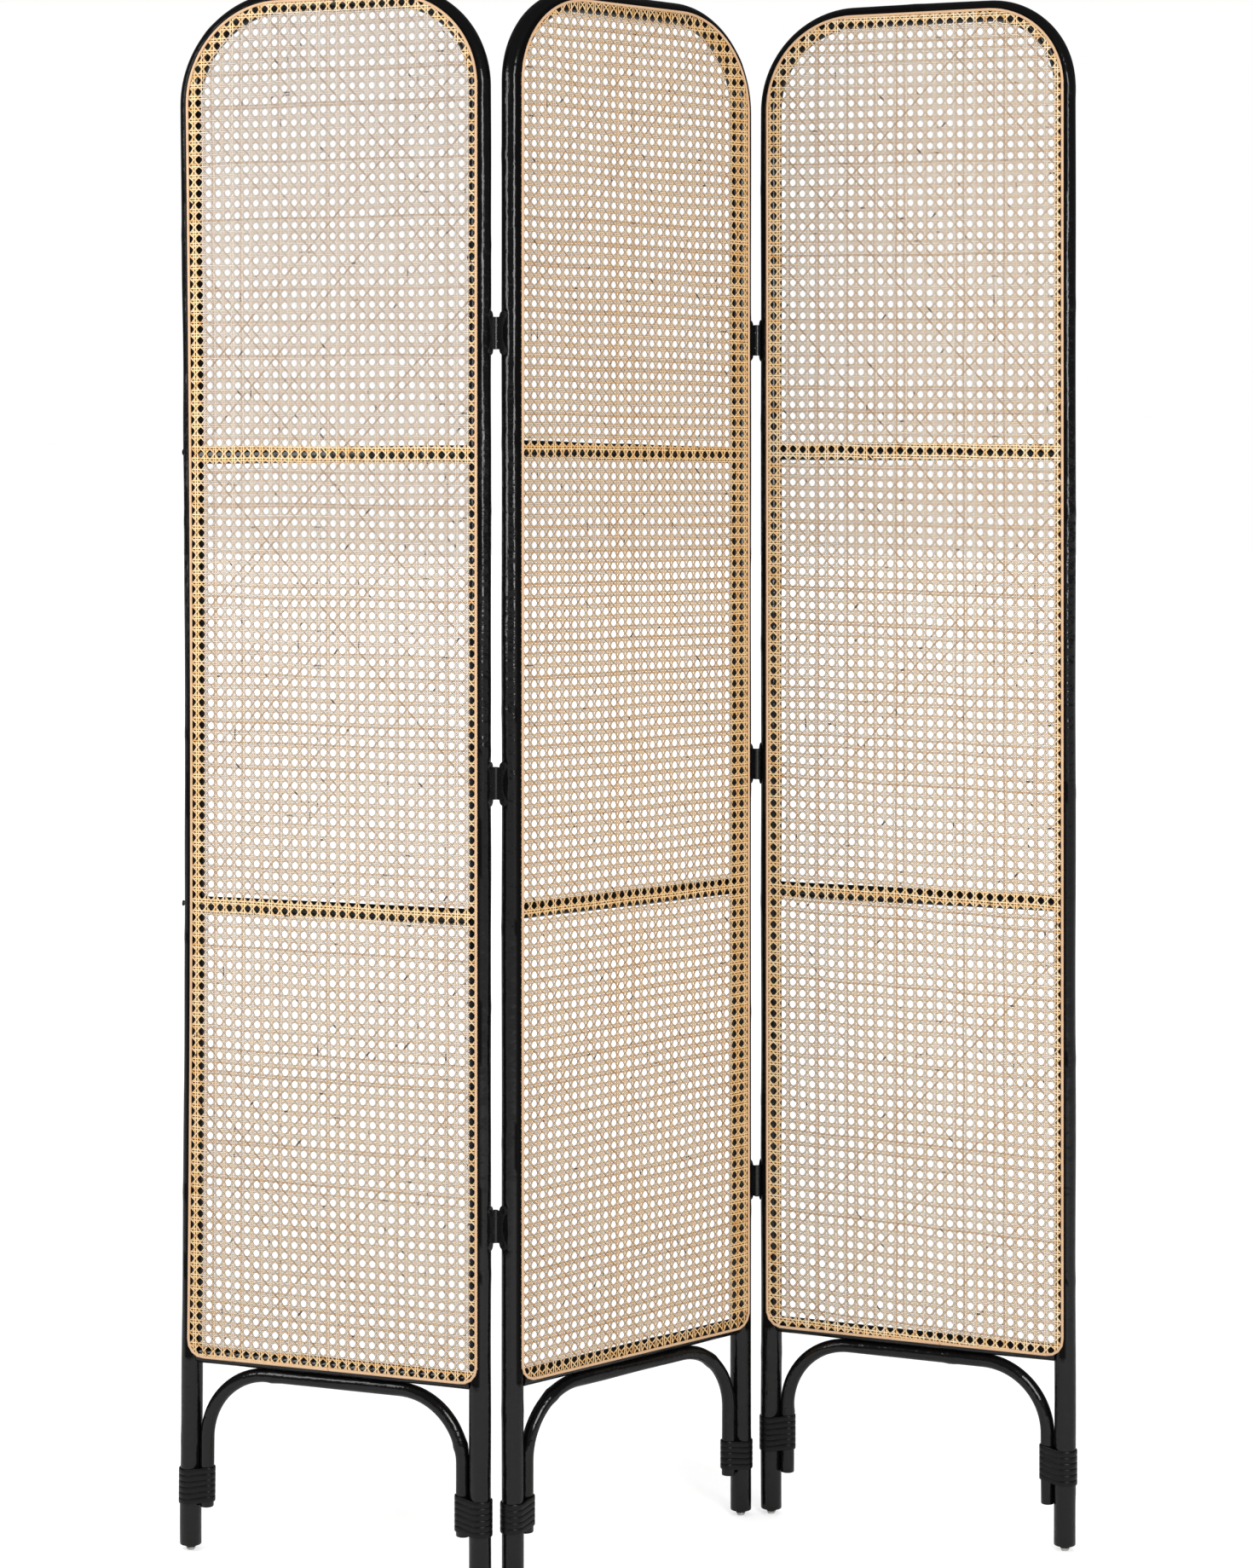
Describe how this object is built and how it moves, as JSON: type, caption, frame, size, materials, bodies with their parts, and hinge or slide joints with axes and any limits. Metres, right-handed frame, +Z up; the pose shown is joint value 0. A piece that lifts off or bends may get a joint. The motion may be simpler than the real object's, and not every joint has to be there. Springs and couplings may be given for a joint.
{
  "type": "folding screen",
  "caption": "Folding room screen of hinged panels: bent black rattan poles, natural cane webbing, arched feet with wound lashings; the panels fold flat on butterfly hinges.",
  "frame": {"origin": "on the floor, under the middle of the screen's outline as it stands in the picture", "axes": "+Z up, +X to the right seen from the front, the cane front looks towards -Y"},
  "size_m": [1.0418, 0.2904, 1.8],
  "materials": {
    "black_rattan": "satin black lacquer on rattan",
    "natural_cane": "natural rattan cane, dull gloss",
    "cane_peel": "pale natural half-round peel, satin",
    "black_peel": "black lacquered flat rattan peel",
    "black_hinge_steel": "black paint, semi gloss",
    "screw_steel": "blackened steel",
    "glide_plastic": "grey plastic"
  },
  "bodies": {
    "middle_panel": {"left_joint_centre_leaf_on_middle": "black_hinge_steel", "left_joint_centre_pin": "screw_steel", "left_joint_lower_leaf_on_middle": "black_hinge_steel", "left_joint_lower_pin": "screw_steel", "left_joint_upper_leaf_on_middle": "black_hinge_steel", "left_joint_upper_pin": "screw_steel", "middle_arch_screws": "screw_steel", "middle_bottom_rail": "black_rattan", "middle_cane_binding": "cane_peel", "middle_cane_webbing": "natural_cane", "middle_foot_glides": "glide_plastic", "middle_hinge_screws": "screw_steel", "middle_lashing_left_leg": "black_peel", "middle_lashing_right_leg": "black_peel", "middle_leg_arch": "black_rattan", "middle_lower_cross_rail": "black_rattan", "middle_pole_frame": "black_rattan", "middle_rail_screws": "screw_steel", "middle_upper_cross_rail": "black_rattan", "right_joint_centre_leaf_on_middle": "black_hinge_steel", "right_joint_centre_pin": "screw_steel", "right_joint_lower_leaf_on_middle": "black_hinge_steel", "right_joint_lower_pin": "screw_steel", "right_joint_upper_leaf_on_middle": "black_hinge_steel", "right_joint_upper_pin": "screw_steel"},
    "left_panel": {"left_arch_screws": "screw_steel", "left_bottom_rail": "black_rattan", "left_cane_binding": "cane_peel", "left_cane_webbing": "natural_cane", "left_foot_glides": "glide_plastic", "left_hinge_screws": "screw_steel", "left_joint_centre_leaf_on_left": "black_hinge_steel", "left_joint_lower_leaf_on_left": "black_hinge_steel", "left_joint_upper_leaf_on_left": "black_hinge_steel", "left_lashing_left_leg": "black_peel", "left_lashing_right_leg": "black_peel", "left_leg_arch": "black_rattan", "left_lower_cross_rail": "black_rattan", "left_pole_frame": "black_rattan", "left_rail_screws": "screw_steel", "left_upper_cross_rail": "black_rattan"},
    "right_panel": {"right_arch_screws": "screw_steel", "right_bottom_rail": "black_rattan", "right_cane_binding": "cane_peel", "right_cane_webbing": "natural_cane", "right_foot_glides": "glide_plastic", "right_hinge_screws": "screw_steel", "right_joint_centre_leaf_on_right": "black_hinge_steel", "right_joint_lower_leaf_on_right": "black_hinge_steel", "right_joint_upper_leaf_on_right": "black_hinge_steel", "right_lashing_left_leg": "black_peel", "right_lashing_right_leg": "black_peel", "right_leg_arch": "black_rattan", "right_lower_cross_rail": "black_rattan", "right_pole_frame": "black_rattan", "right_rail_screws": "screw_steel", "right_upper_cross_rail": "black_rattan"}
  },
  "joints": [
    {"name": "left_fold", "type": "hinge", "parent": "middle_panel", "child": "left_panel", "pos_m": [-0.14895, -0.12166, 0.899], "axis": [0, 0, 1], "range_deg": [-116.7, 49.8]},
    {"name": "right_fold", "type": "hinge", "parent": "middle_panel", "child": "right_panel", "pos_m": [0.15481, 0.12247, 0.899], "axis": [0, 0, 1], "range_deg": [-114, 52.5]}
  ]
}
